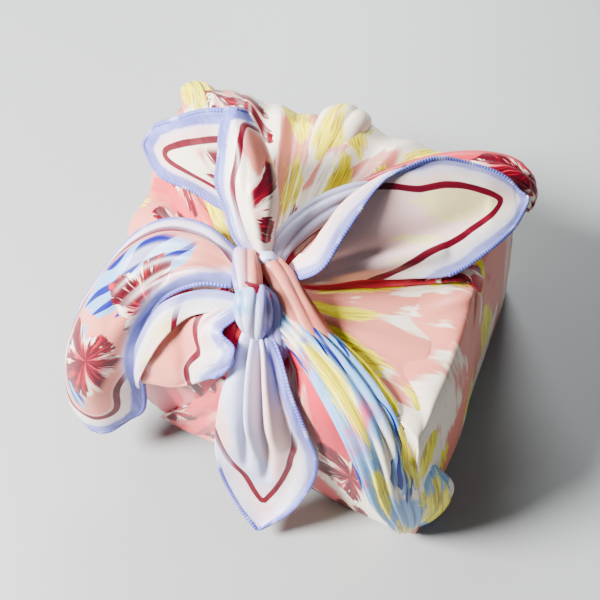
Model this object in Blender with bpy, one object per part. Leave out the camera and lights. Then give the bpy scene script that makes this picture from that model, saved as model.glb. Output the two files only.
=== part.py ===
"""A furoshiki: one square satin cloth wrapped round a box-like parcel and knotted on top.

The whole wrap is one piece of cloth, so it is one solid: the filled parcel with its gathers,
the four corner rolls that run up to the knot, the knot itself and the four free ends.
Tables are in millimetres, in the frame of the part: origin under the middle of the parcel,
+X along its front edge, +Y to the back, +Z up. It stands on Z = 0.
"""

import math

import bmesh
import bpy
import numpy as np
from mathutils import Vector

MM = 0.001

# Driving sizes of the parcel, in mm
RIM_HEIGHT = 106.0
KNOT_X, KNOT_Y = 6.0, -46.0
NECK_HEIGHT = 121.0
NECK_RADIUS = 16.0
TOP_CROWN = 4.0
WALL_BULGE = 3.0
RIM_ROUND = 12.0
SHEET = 2.0
FLAP_THICKNESS = 6.0
CORNER_ROUND = 30.0

# Mesh steps
SIDE_STEPS = 12
CORNER_STEPS = 4
ROLL_SIDES = 10

# Corners of the parcel as x, y: front right, back right, back left, front left
BASE_CORNERS = ((104, -93), (111, 92), (-90, 90), (-73, -67))
RIM_CORNERS = ((97, -86), (99, 89), (-99, 95), (-79, -71))

# Rings of the wall from the floor up: height, and how far it is drawn in
WALL_RINGS = ((0, 7), (2, 2), (7, 0), (30, 0), (55, 0), (80, 0), (98, 1), (104, 4))

# Rings of the top, as the share of the way from the rim to the neck of the knot
TOP_RINGS = (0.08, 0.2, 0.34, 0.48, 0.62, 0.76, 0.88, 1.0)

# Gathers that run from the neck over the rim: place round the parcel (0 is the front right
# corner, 1 back right, 2 back left, 3 front left), half width in the same units, height in mm,
# and how far it reaches down the wall, as a share of it
GATHERS = (
    (0.22, 0.05, 2.0, 0.6),
    (0.86, 0.06, 4.0, 0.4),
    (1.16, 0.05, 4.0, 0.3),
    (1.30, 0.05, 5.0, 0.3),
    (1.47, 0.08, 11.0, 0.3),
    (1.61, 0.04, 5.0, 0.3),
    (1.71, 0.04, 6.0, 0.4),
    (1.82, 0.05, 5.0, 0.6),
    (2.18, 0.06, 6.0, 0.5),
    (2.38, 0.07, 7.0, 0.4),
    (2.62, 0.06, 4.0, 0.6),
    (3.30, 0.06, 3.0, 0.8),
    (3.72, 0.07, 5.0, 1.0),
)

# Corner rolls from the knot outwards: x, y, z, width, thickness
FRONT_RIGHT_ROLL = (
    (12, -50, 122, 12, 12),
    (32, -58, 118, 18, 13),
    (54, -70, 112, 26, 13),
    (75, -85, 101, 32, 14),
    (85, -92, 68, 34, 14),
    (91, -91, 34, 28, 13),
    (93, -87, 9, 18, 10),
)
BACK_RIGHT_ROLL = (
    (8, -30, 124, 12, 12),
    (16, 2, 121, 18, 14),
    (34, 36, 114, 26, 16),
    (62, 64, 109, 32, 18),
    (88, 76, 106, 34, 20),
    (103, 79, 101, 26, 16),
    (108, 80, 88, 12, 8),
)
BACK_LEFT_ROLL = (
    (-8, -34, 122, 12, 12),
    (-34, 2, 115, 20, 14),
    (-64, 44, 109, 28, 14),
    (-88, 80, 104, 26, 14),
    (-101, 92, 99, 14, 10),
    (-103, 94, 88, 6, 5),
)
FRONT_LEFT_ROLL = (
    (-8, -50, 120, 12, 12),
    (-34, -58, 112, 20, 13),
    (-58, -66, 105, 24, 13),
    (-75, -71, 99, 18, 11),
    (-79, -73, 86, 8, 6),
)
FRONT_RIGHT_EAR = (
    (90, -76, 98, 6, 5),
    (101, -79, 72, 20, 13),
    (106, -78, 42, 30, 18),
    (106, -78, 20, 30, 16),
    (101, -82, 5, 16, 8),
)
BACK_GATHER = (
    (2, -28, 120, 8, 8),
    (0, 10, 112, 14, 8),
    (-1, 50, 110, 20, 12),
    (-1, 78, 111, 27, 18),
    (0, 92, 107, 28, 18),
    (0, 97, 92, 18, 10),
    (0, 96, 78, 6, 5),
)

# Bands of the knot: x, y, z, width, thickness
KNOT_CORE = ((6, -46, 108, 26, 28), (6, -46, 124, 36, 37), (6, -46, 136, 26, 26))
TOP_BAND = (
    (-11, -28, 120, 15, 8),
    (-8, -34, 135, 16, 8),
    (-1, -44, 142, 17, 9),
    (6, -57, 139, 17, 9),
    (9, -65, 127, 16, 8),
    (8, -64, 116, 14, 8),
)
SIDE_BAND = (
    (-6, -60, 116, 12, 8),
    (8, -68, 123, 15, 8),
    (24, -62, 129, 15, 8),
    (32, -48, 126, 13, 8),
    (30, -38, 116, 12, 8),
)
CROSS_BAND = (
    (2, -32, 126, 12, 9),
    (10, -35, 138, 14, 9),
    (19, -44, 138, 15, 9),
    (28, -54, 128, 16, 10),
    (36, -60, 116, 16, 10),
)

# Free ends. A row is a section from the knot out to the tip; its columns are points across it.
# Columns: rolled hem, far fold, crest, near hem
RIGHT_END = (
    ((15, -36, 127), (11, -31, 129), (14, -33, 129), (17, -36, 126)),
    ((30, -34, 141), (22, -17, 142), (30, -24, 135), (33, -27, 123)),
    ((35, -12, 145), (29, 8, 145), (43, -11, 132), (48, -17, 119)),
    ((43, 24, 143), (42, 33, 143), (58, 5, 129), (66, -8, 116)),
    ((60, 46, 139), (62, 48, 138), (74, 19, 126), (84, 1, 115)),
    ((80, 57, 130), (82, 58, 129), (89, 35, 123), (97, 20, 115)),
    ((96, 62, 122), (97, 62, 121), (102, 49, 119), (107, 40, 116)),
    ((106, 61, 118), (107, 61, 118), (109, 58, 117), (110, 55, 116)),
)
# Columns: far hem, crest, middle, near hem
LEFT_END = (
    ((-10, -34, 133), (-10, -40, 138), (-8, -46, 138), (-8, -51, 132)),
    ((-33, -24, 134), (-30, -37, 142), (-26, -49, 142), (-23, -55, 132)),
    ((-53, -23, 130), (-51, -41, 138), (-45, -57, 134), (-40, -61, 121)),
    ((-71, -35, 118), (-69, -55, 126), (-61, -72, 120), (-48, -73, 104)),
    ((-86, -50, 98), (-84, -72, 102), (-72, -85, 96), (-53, -79, 84)),
    ((-99, -68, 72), (-94, -87, 72), (-77, -96, 70), (-52, -82, 62)),
    ((-99, -86, 48), (-92, -98, 44), (-75, -98, 42), (-55, -85, 42)),
    ((-91, -97, 31), (-82, -101, 27), (-73, -99, 27), (-64, -91, 31)),
)
# Columns: hidden edge, middle, hem
LEFT_END_LINING = (
    ((-12, -50, 124), (-8, -54, 122), (-2, -58, 120)),
    ((-40, -62, 110), (-27, -61, 109), (-9, -60, 117)),
    ((-49, -76, 92), (-30, -76, 96), (-7, -72, 106)),
    ((-47, -82, 72), (-33, -82, 78), (-11, -80, 92)),
)
# Columns: left hem, middle, right hem
FRONT_END = (
    ((2, -58, 121), (7, -60, 123), (13, -58, 121)),
    ((0, -68, 112), (11, -71, 116), (21, -66, 113)),
    ((-2, -80, 99), (15, -84, 104), (32, -77, 102)),
    ((-4, -89, 83), (18, -94, 86), (42, -86, 86)),
    ((-6, -96, 62), (20, -96, 61), (47, -90, 66)),
    ((-2, -104, 38), (21, -101, 35), (46, -96, 44)),
    ((9, -112, 20), (23, -110, 17), (37, -107, 24)),
    ((18, -117, 10), (22, -117, 9), (27, -115, 11)),
)
# Columns: front hem, front middle, right fold, back middle, tip hem
BACK_END = (
    ((-6, -33, 130), (0, -33, 133), (3, -28, 128), (-2, -22, 120), (-8, -20, 116)),
    ((-14, -30, 140), (-4, -29, 147), (2, -21, 140), (-10, -10, 126), (-26, -4, 119)),
    ((-25, -18, 148), (-10, -19, 158), (0, -9, 149), (-24, -1, 134), (-52, 2, 123)),
    ((-32, -8, 156), (-15, -6, 166), (-9, 7, 153), (-38, 6, 146), (-76, 8, 124)),
    ((-35, 6, 164), (-23, 6, 172), (-19, 18, 160), (-46, 15, 157), (-86, 15, 134)),
    ((-39, 22, 170), (-33, 20, 173), (-29, 25, 167), (-50, 22, 165), (-80, 20, 147)),
)
# The flap that crosses the top to the right: crisp edge, middle, edge under the front right roll
TOP_FLAP = (
    ((16, -38, 118), (17, -44, 118), (16, -50, 117)),
    ((44, -24, 110), (44, -40, 110), (42, -60, 110)),
    ((72, -10, 108), (72, -38, 108), (70, -72, 108)),
    ((89, 0, 106), (90, -34, 106), (89, -78, 105)),
    ((97, 4, 98), (98, -36, 98), (98, -76, 98)),
    ((102, 6, 76), (102, -38, 76), (102, -72, 76)),
    ((99, 6, 46), (99, -38, 46), (99, -72, 46)),
)
# The tuck on the front face, left of the front end: crisp edge, middle, edge under the free end
FRONT_TUCK = (
    ((-60, -70, 3), (-50, -72, 8), (-34, -74, 14)),
    ((-42, -72, 32), (-32, -75, 32), (-14, -77, 32)),
    ((-24, -73, 62), (-16, -77, 62), (0, -79, 60)),
    ((-10, -72, 90), (-4, -76, 90), (10, -79, 88)),
)

SATIN = (0.86, 0.66, 0.66, 1.0)
SATIN_ROUGHNESS = 0.38


def clear_scene():
    for old in list(bpy.data.objects):
        bpy.data.objects.remove(old, do_unlink=True)


def spline(rows, steps):
    """A smooth curve through the rows, with this many points for each row gap."""
    rows = np.asarray(rows, float)
    first, last = 2 * rows[0] - rows[1], 2 * rows[-1] - rows[-2]
    padded = np.concatenate([[first], rows, [last]])
    points = []
    for i in range(len(rows) - 1):
        a, b, c, d = padded[i : i + 4]
        for t in np.arange(steps) / steps:
            points.append(
                b
                + 0.5 * t * (c - a)
                + t * t * (a - 2.5 * b + 2 * c - 0.5 * d)
                + t**3 * (-0.5 * a + 1.5 * b - 1.5 * c + 0.5 * d)
            )
    points.append(rows[-1])
    return np.array(points)


def mesh_object(name, points, faces):
    mesh = bpy.data.meshes.new(name)
    mesh.from_pydata([tuple(p) for p in np.asarray(points) * MM], [], faces)
    bm = bmesh.new()
    bm.from_mesh(mesh)
    bmesh.ops.recalc_face_normals(bm, faces=bm.faces)
    bmesh.ops.triangulate(bm, faces=bm.faces)
    bm.to_mesh(mesh)
    bm.free()
    obj = bpy.data.objects.new(name, mesh)
    bpy.context.scene.collection.objects.link(obj)
    return obj


def tube(name, rings):
    """A closed body: quads between successive rings, and a fan to the middle of each end."""
    rings = np.array(rings, float)
    count, sides = rings.shape[:2]
    middles = [rings[0].mean(axis=0), rings[-1].mean(axis=0)]
    points = np.concatenate([rings.reshape(-1, 3), middles])
    faces = []
    for s in range(sides):
        after = (s + 1) % sides
        for r in range(count - 1):
            low, high = r * sides, (r + 1) * sides
            faces.append((low + s, low + after, high + after, high + s))
        top = (count - 1) * sides
        faces.append((after, s, count * sides))
        faces.append((top + s, top + after, count * sides + 1))
    return mesh_object(name, points, faces)


def rounded_outline(corners):
    """The outline through four corners, each eased by CORNER_ROUND, and each point's place."""
    corners = [np.array(c, float) for c in corners]
    points, places = [], []
    for i, corner in enumerate(corners):
        before, after = corners[i - 1], corners[(i + 1) % 4]
        start = corner + (before - corner) * CORNER_ROUND / np.linalg.norm(before - corner)
        end = corner + (after - corner) * CORNER_ROUND / np.linalg.norm(after - corner)
        share = CORNER_ROUND / np.linalg.norm(after - corner)
        for t in np.linspace(0, 1, CORNER_STEPS + 1):
            # A tight curve that stays near the corner
            way = (1 - t) ** 2 * start + 2 * t * (1 - t) * corner + t * t * end
            points.append(0.45 * way + 0.55 * (corner + (way - corner) * abs(2 * t - 1)))
            places.append((i + (t - 0.5) * 2 * share) % 4)
        far = after + (corner - after) * CORNER_ROUND / np.linalg.norm(after - corner)
        for t in np.arange(1, SIDE_STEPS) / SIDE_STEPS:
            points.append(end + (far - end) * t)
            places.append(i + share + (1 - 2 * share) * t)
    return np.array(points), np.array(places)


def gather_height(places, reach):
    """How far the gathers stand out at each place. reach is 0 on the top and 1 at the floor."""
    total = np.zeros(len(places))
    for place, half_width, height, down in GATHERS:
        apart = (places - place + 2) % 4 - 2
        fade = max(0.0, 1 - reach / down)
        total += height * fade * np.exp(-((apart / half_width) ** 2))
    return total


def parcel():
    """The filled parcel: wall, rim and a top that is drawn up to the neck of the knot."""
    base, places = rounded_outline(BASE_CORNERS)
    rim, _ = rounded_outline(RIM_CORNERS)
    outward = rim / np.linalg.norm(rim, axis=1, keepdims=True)
    rings = []
    for height, inset in WALL_RINGS:
        share = height / RIM_HEIGHT
        out = WALL_BULGE * math.sin(math.pi * share) - inset
        out = out + gather_height(places, 1 - share)
        xy = base + (rim - base) * share + outward * np.reshape(out, (-1, 1))
        rings.append(np.column_stack([xy, np.full(len(xy), float(height))]))
    knot = np.array([KNOT_X, KNOT_Y])
    inner = rim - outward * RIM_ROUND
    to_knot = inner - knot
    neck = knot + NECK_RADIUS * to_knot / np.linalg.norm(to_knot, axis=1, keepdims=True)
    for share in TOP_RINGS:
        xy = inner + (neck - inner) * share
        rise = (NECK_HEIGHT - RIM_HEIGHT) * share**3
        crown = TOP_CROWN * math.sin(math.pi * share)
        z = RIM_HEIGHT + rise + crown + gather_height(places, 0) * (1 - 0.5 * share)
        rings.append(np.column_stack([xy, z]))
    return tube("wrap", rings)


def roll(name, rows, across=None):
    """A roll of cloth along its rows, as a closed oval tube.

    across is the heading of its width in degrees, for a roll that hangs down.
    """
    path = spline(rows, 2)
    centres, widths, depths = path[:, :3], path[:, 3], path[:, 4]
    ahead = np.gradient(centres, axis=0)
    rings = []
    for centre, width, depth, way in zip(centres, widths, depths, ahead):
        way = Vector(way).normalized()
        if across is None:
            side = way.cross(Vector((0, 0, 1)))
        else:
            level = Vector((math.cos(math.radians(across)), math.sin(math.radians(across)), 0))
            side = level - way * level.dot(way)
        side.normalize()
        up = side.cross(way)
        ring = []
        for turn in np.linspace(0, 2 * math.pi, ROLL_SIDES, endpoint=False):
            sideways = side * (width / 2 * math.cos(turn))
            ring.append(Vector(centre) + sideways + up * (depth / 2 * math.sin(turn)))
        rings.append(ring)
    return tube(name, rings)


def cloth(name, rows, along=2, across=3, thickness=SHEET):
    """A sheet through the sections, given its thickness by Solidify."""
    rows = np.asarray(rows, float)
    lengthwise = spline(rows.reshape(len(rows), -1), along).reshape(-1, rows.shape[1], 3)
    grid = np.array([spline(section, across) for section in lengthwise])
    count, wide = grid.shape[:2]
    faces = []
    for i in range(count - 1):
        for j in range(wide - 1):
            k = i * wide + j
            faces.append((k, k + 1, k + wide + 1, k + wide))
    obj = mesh_object(name, grid.reshape(-1, 3), faces)
    solid = obj.modifiers.new("cloth thickness", "SOLIDIFY")
    solid.thickness = thickness * MM
    solid.offset = 0
    return obj


def satin():
    material = bpy.data.materials.new("printed satin")
    material.use_nodes = True
    shader = material.node_tree.nodes["Principled BSDF"]
    shader.inputs["Base Color"].default_value = SATIN
    shader.inputs["Roughness"].default_value = SATIN_ROUGHNESS
    return material


def join_into(body, pieces):
    """Each piece becomes part of the one cloth by a union, and is itself left out.

    The thin layers cross each other at small angles. The EXACT solver leaves open edges there,
    and MANIFOLD doesn't. Every piece is a closed mesh, as MANIFOLD needs.
    """
    for piece in pieces:
        union = body.modifiers.new(piece.name, "BOOLEAN")
        union.operation = "UNION"
        union.solver = "MANIFOLD"
        union.object = piece
        piece.hide_render = True
        piece.display_type = "WIRE"


def main():
    clear_scene()
    wrap = parcel()
    pieces = [
        roll("front right roll", FRONT_RIGHT_ROLL, across=45),
        roll("back right roll", BACK_RIGHT_ROLL),
        roll("back left roll", BACK_LEFT_ROLL, across=40),
        roll("front left roll", FRONT_LEFT_ROLL, across=105),
        roll("front right ear", FRONT_RIGHT_EAR, across=45),
        roll("back gather", BACK_GATHER, across=0),
        cloth("top flap", TOP_FLAP, thickness=FLAP_THICKNESS),
        cloth("front tuck", FRONT_TUCK, thickness=FLAP_THICKNESS),
        roll("knot core", KNOT_CORE, across=0),
        roll("top band", TOP_BAND, across=30),
        roll("side band", SIDE_BAND),
        roll("cross band", CROSS_BAND),
        cloth("right end", RIGHT_END),
        cloth("left end", LEFT_END),
        cloth("left end lining", LEFT_END_LINING),
        cloth("front end", FRONT_END, across=4),
        cloth("back end", BACK_END),
    ]
    join_into(wrap, pieces)
    wrap.data.materials.append(satin())
    wrap.data.shade_smooth()


main()
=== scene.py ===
"""A furoshiki as it looks: one printed satin square, wrapped round a parcel and knotted on top.

The frame holds the whole wrap as one solid. Here sections like its own carry the cloth itself:
the cover of the parcel, the corner rolls, the bands of the knot, and the free ends with hems.
Tables are in millimetres in the part's frame: origin under the middle of the parcel, +X along
its front edge, +Y to the back, +Z up.
"""

import math
from collections import namedtuple

import bmesh
import bpy
import numpy as np
from mathutils import Matrix, Vector


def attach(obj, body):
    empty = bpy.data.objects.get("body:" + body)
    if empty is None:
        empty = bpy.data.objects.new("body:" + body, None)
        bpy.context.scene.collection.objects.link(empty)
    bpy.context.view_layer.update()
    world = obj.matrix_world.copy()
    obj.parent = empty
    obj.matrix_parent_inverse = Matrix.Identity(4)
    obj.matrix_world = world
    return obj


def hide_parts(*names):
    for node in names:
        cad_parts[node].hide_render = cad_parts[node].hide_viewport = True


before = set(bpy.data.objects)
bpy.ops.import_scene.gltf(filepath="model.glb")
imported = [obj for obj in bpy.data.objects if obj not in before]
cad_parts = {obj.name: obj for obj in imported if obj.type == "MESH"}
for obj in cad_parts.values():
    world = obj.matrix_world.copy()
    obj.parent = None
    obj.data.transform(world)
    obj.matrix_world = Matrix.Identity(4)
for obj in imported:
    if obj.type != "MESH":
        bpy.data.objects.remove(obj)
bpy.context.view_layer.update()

MM = 0.001

# The parcel and the neck of cloth over it, as in the solid
RIM_HEIGHT = 106.0
KNOT = (6.0, -46.0)
NECK_HEIGHT = 121.0
NECK_RADIUS = 16.0
TOP_CROWN = 4.0
WALL_BULGE = 3.0
RIM_ROUND = 12.0
CORNER_ROUND = 30.0

# Corners of the parcel as x, y: front right, back right, back left, front left
BASE_CORNERS = ((104, -93), (111, 92), (-90, 90), (-73, -67))
RIM_CORNERS = ((97, -86), (99, 89), (-99, 95), (-79, -71))

# The wall from the floor up: height, and how far it is drawn in
WALL = ((0, 7), (2, 2), (7, 0), (30, 0), (55, 0), (80, 0), (98, 1), (104, 4))

# Gathers from the neck over the rim: place round the parcel (0 front right, 1 back right,
# 2 back left, 3 front left), half width in the same units, height, and share of the wall that
# they reach down
GATHERS = (
    (0.22, 0.05, 2.0, 0.6),
    (0.86, 0.06, 4.0, 0.4),
    (1.16, 0.05, 4.0, 0.3),
    (1.30, 0.05, 5.0, 0.3),
    (1.47, 0.08, 11.0, 0.3),
    (1.61, 0.04, 5.0, 0.3),
    (1.71, 0.04, 6.0, 0.4),
    (1.82, 0.05, 8.0, 0.5),
    (1.93, 0.05, 7.0, 0.4),
    (2.18, 0.06, 6.0, 0.5),
    (2.38, 0.07, 7.0, 0.4),
    (2.62, 0.06, 4.0, 0.6),
    (3.30, 0.06, 3.0, 0.8),
    (3.72, 0.07, 5.0, 1.0),
)

# Ribs that fan out over the top from the knot: their height at these places round the parcel,
# and how many there are to a side
RIB_PLACES = (0, 0.8, 1.1, 2.0, 2.9, 3.3, 4.0)
RIB_HEIGHTS = (0.2, 0.4, 1.9, 1.4, 0.9, 0.6, 0.2)
RIBS_TO_A_SIDE = 5.5

# Corner rolls and knot bands from the knot outwards: x, y, z, width, thickness
ROLLS = {
    "front_right_roll": (
        (12, -50, 122, 12, 12),
        (32, -58, 118, 18, 13),
        (54, -70, 112, 26, 13),
        (75, -85, 101, 30, 14),
        (87, -92, 68, 29, 14),
        (94, -90, 34, 22, 13),
        (95, -87, 9, 14, 10),
    ),
    "back_right_roll": (
        (8, -30, 124, 12, 12),
        (16, 2, 121, 18, 14),
        (34, 36, 114, 26, 16),
        (62, 64, 109, 32, 18),
        (88, 76, 106, 34, 20),
        (103, 79, 101, 26, 16),
        (108, 80, 88, 12, 8),
    ),
    "back_left_roll": (
        (-8, -34, 122, 12, 12),
        (-34, 2, 115, 20, 14),
        (-64, 44, 107, 26, 12),
        (-87, 81, 105, 22, 10),
        (-98, 92, 102, 15, 9),
        (-103, 95, 92, 8, 6),
    ),
    "front_left_roll": (
        (-8, -50, 120, 12, 12),
        (-34, -52, 105, 16, 8),
        (-56, -58, 97, 16, 8),
        (-70, -62, 92, 13, 8),
        (-73, -67, 84, 8, 6),
    ),
    "front_right_ear": (
        (92, -77, 76, 6, 5),
        (99, -79, 56, 17, 11),
        (103, -79, 36, 27, 14),
        (101, -80, 17, 26, 13),
        (96, -84, 5, 14, 8),
    ),
    "blue_fold": (
        (4, -34, 127, 9, 8),
        (5, -20, 131, 12, 10),
        (11, -3, 132, 15, 11),
        (19, 13, 130, 16, 11),
        (28, 30, 124, 13, 9),
        (34, 43, 115, 7, 6),
    ),
    "back_gather": (
        (2, -28, 120, 8, 8),
        (0, 10, 112, 14, 8),
        (-1, 50, 110, 20, 12),
        (-1, 78, 111, 27, 18),
        (0, 92, 107, 28, 18),
        (0, 97, 92, 18, 10),
        (0, 96, 78, 6, 5),
    ),
    "knot_core": (
        (4, -44, 108, 24, 26),
        (4, -44, 122, 28, 30),
        (4, -44, 132, 16, 18),
    ),
    "knot_upper_band": (
        (-12, -28, 122, 10, 7),
        (-10, -32, 133, 13, 8),
        (-4, -42, 138, 14, 9),
        (1, -51, 137, 13, 8),
        (2, -55, 130, 8, 6),
    ),
    "knot_bulge": (
        (-1, -49, 129, 8, 7),
        (3, -53, 136, 14, 9),
        (6, -59, 133, 17, 11),
        (8, -62, 125, 15, 10),
        (9, -63, 115, 8, 6),
    ),
    # A thin crimson roll in the crease between the knot's bands: partly the deep red of the print,
    # partly painted shade
    "knot_crease": (
        (-8, -45, 131, 4, 3),
        (-2, -50, 139, 4, 3),
        (6, -53, 139, 5, 3),
        (12, -51, 133, 4, 3),
    ),
    # A dark crimson fold in the hollow in front of the knot: partly the burgundy of the print,
    # partly painted shade
    "knot_shade": (
        (-7, -54, 117, 9, 4),
        (-3, -63, 114, 11, 4),
        (1, -73, 106, 8, 4),
    ),
    "knot_lower_band": (
        (3, -46, 130, 8, 6),
        (11, -50, 129, 10, 6),
        (16, -57, 123, 10, 6),
        (20, -64, 114, 9, 5),
        (22, -67, 104, 8, 5),
    ),
    "knot_cross_band": (
        (0, -32, 124, 9, 7),
        (4, -34, 134, 11, 8),
        (11, -38, 133, 13, 8),
        (22, -46, 127, 14, 8),
        (35, -56, 120, 16, 8),
        (50, -66, 113, 14, 6),
    ),
    "knot_loop": (
        (-1, -36, 131, 4, 4),
        (2, -34, 138, 6, 4),
        (6, -32, 137, 6, 4),
        (8, -31, 131, 5, 4),
    ),
}

# How each roll is finished: heading of its width in degrees (None where it is level), folds
# round it, their depth as a share, half turns that they wind, the angle of a cloth edge on it,
# and its print
RollFinish = namedtuple("RollFinish", "across folds depth winding edge print")
ROLL_FINISH = {
    "front_right_roll": (45, 14, 0.26, 0.9, None, "blue"),
    "back_right_roll": (None, 11, 0.26, 0.9, None, "wine"),
    "back_left_roll": (40, 10, 0.20, 0.6, None, "yellow"),
    "front_left_roll": (105, 8, 0.14, 0.5, None, "lining"),
    "front_right_ear": (45, 6, 0.24, 0.7, None, "leafy"),
    "back_gather": (0, 5, 0.16, 0.2, None, "yellow"),
    "blue_fold": (None, 6, 0.24, 0.5, None, "sky"),
    "knot_core": (0, 9, 0.16, 0.4, None, "wine"),
    "knot_upper_band": (30, 5, 0.26, 0.3, 180, "knot"),
    "knot_bulge": (20, 6, 0.26, 0.7, 330, "sky"),
    "knot_crease": (None, 3, 0.20, 0.2, None, "crimson"),
    "knot_shade": (None, 4, 0.20, 0.2, None, "crimson"),
    "knot_lower_band": (None, 5, 0.22, 0.4, 90, "end"),
    "knot_cross_band": (None, 6, 0.20, 0.4, None, "pink"),
    "knot_loop": (None, 3, 0.10, 0.2, None, "sky"),
}

# Sheets: a row is a section from the knot out, and its columns are points across it
SHEETS = {
    # Rolled hem, far fold, crest, near hem
    "right_end": (
        ((15, -36, 127), (11, -31, 129), (14, -33, 129), (17, -36, 126)),
        ((30, -34, 141), (22, -17, 142), (30, -24, 135), (33, -27, 123)),
        ((35, -12, 145), (29, 8, 145), (43, -11, 132), (48, -17, 119)),
        ((43, 26, 144), (44, 31, 141), (59, 4, 128), (66, -8, 116)),
        ((60, 50, 140), (64, 43, 136), (75, 18, 125), (84, 1, 115)),
        ((80, 61, 131), (84, 53, 128), (90, 33, 122), (97, 20, 115)),
        ((96, 64, 122), (98, 59, 121), (102, 48, 119), (107, 40, 116)),
        ((108, 60, 117), (108, 60, 117), (109, 59, 117), (109, 58, 117)),
    ),
    # Far hem, crest, middle, near hem
    "left_end": (
        ((-10, -33, 135), (-10, -40, 138), (-8, -46, 138), (-8, -51, 132)),
        ((-33, -24, 137), (-30, -38, 141), (-26, -49, 141), (-23, -55, 132)),
        ((-53, -24, 134), (-51, -42, 137), (-45, -57, 133), (-40, -61, 121)),
        ((-72, -36, 122), (-69, -56, 125), (-61, -72, 119), (-48, -73, 104)),
        ((-88, -51, 101), (-84, -72, 102), (-72, -85, 96), (-53, -79, 84)),
        ((-99, -68, 72), (-94, -87, 72), (-77, -96, 70), (-52, -82, 62)),
        ((-99, -86, 48), (-92, -98, 44), (-75, -98, 42), (-55, -85, 42)),
        ((-91, -97, 31), (-82, -101, 27), (-73, -99, 27), (-64, -91, 31)),
    ),
    # Edge behind the left end, middle, hem
    "left_end_lining": (
        ((-12, -48, 127), (-6, -54, 126), (0, -58, 126)),
        ((-38, -62, 119), (-22, -67, 115), (-7, -68, 120)),
        ((-47, -75, 102), (-22, -79, 102), (2, -75, 118)),
        ((-50, -82, 86), (-24, -84, 91), (0, -80, 109)),
        ((-50, -84, 73), (-30, -85, 81), (-9, -82, 97)),
    ),
    # Left hem, middle, right hem
    "front_end": (
        ((2, -58, 121), (7, -60, 123), (13, -60, 123)),
        ((0, -68, 112), (11, -71, 116), (22, -69, 117)),
        ((-2, -80, 99), (15, -84, 104), (32, -81, 106)),
        ((-4, -89, 83), (18, -94, 86), (42, -90, 89)),
        ((-6, -96, 62), (20, -96, 61), (47, -90, 66)),
        ((-2, -104, 38), (21, -101, 35), (46, -96, 44)),
        ((9, -112, 20), (23, -110, 17), (37, -107, 24)),
        ((21, -117, 10), (22, -117, 10), (23, -117, 10)),
    ),
    # Front hem, front middle, right fold, back middle, tip hem
    "back_end": (
        ((-6, -33, 130), (0, -33, 133), (3, -28, 128), (-2, -22, 120), (-8, -20, 116)),
        ((-14, -30, 140), (-4, -29, 147), (2, -21, 140), (-10, -10, 126), (-26, -4, 119)),
        ((-25, -18, 148), (-10, -19, 158), (0, -9, 149), (-24, -1, 134), (-52, 2, 123)),
        ((-32, -8, 156), (-15, -6, 166), (-9, 7, 153), (-38, 6, 146), (-76, 8, 124)),
        ((-35, 6, 164), (-23, 6, 172), (-19, 18, 160), (-46, 15, 157), (-86, 15, 134)),
        ((-39, 22, 170), (-33, 20, 173), (-29, 25, 167), (-50, 22, 165), (-80, 20, 147)),
    ),
    # The layer that shows between the right end and the flap: front edge, crest, back edge
    "under_layer": (
        ((14, -37, 120), (12, -33, 122), (12, -28, 120)),
        ((44, -20, 113), (43, -14, 116), (42, -7, 112)),
        ((72, -5, 110), (71, 1, 113), (70, 8, 109)),
        ((90, 4, 108), (90, 10, 110), (90, 17, 107)),
        ((99, 8, 98), (99, 13, 99), (98, 19, 97)),
    ),
    # The near edge of the left end, turned under: hem, middle, inner edge
    "left_end_turn": (
        ((-2, -52, 129), (-2, -54, 128), (-2, -56, 126)),
        ((-13, -53, 130), (-13, -57, 127), (-12, -60, 123)),
        ((-27, -57, 128), (-26, -61, 124), (-25, -65, 119)),
        ((-42, -65, 119), (-39, -71, 115), (-35, -75, 110)),
        ((-50, -76, 102), (-47, -81, 98), (-43, -83, 95)),
        ((-54, -82, 83), (-52, -85, 81), (-49, -86, 80)),
        ((-54, -85, 66), (-54, -85, 66), (-53, -85, 65)),
    ),
    # Crisp edge, middle, edge under the front right roll
    "top_flap": (
        ((16, -38, 118), (17, -44, 118), (16, -50, 117)),
        ((44, -24, 110), (44, -40, 110), (42, -60, 110)),
        ((72, -10, 108), (72, -38, 108), (70, -72, 108)),
        ((92, 2, 107), (93, -34, 107), (90, -82, 105)),
        ((98, 5, 102), (99, -36, 102), (94, -85, 100)),
        ((101, 7, 90), (103, -38, 90), (95, -86, 88)),
        ((103, 8, 60), (107, -38, 58), (98, -87, 56)),
        ((104, 9, 28), (108, -38, 26), (100, -88, 24)),
        ((101, 9, 6), (104, -38, 4), (99, -86, 4)),
    ),
    # Crisp edge, middle, edge under the free end
    "front_tuck": (
        ((-59, -71, 3), (-40, -76, 8), (-18, -81, 16)),
        ((-41, -77, 34), (-24, -81, 38), (-8, -84, 40)),
        ((-22, -79, 64), (-11, -83, 64), (0, -86, 62)),
        ((-6, -78, 94), (0, -80, 92), (8, -82, 90)),
    ),
}

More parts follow.
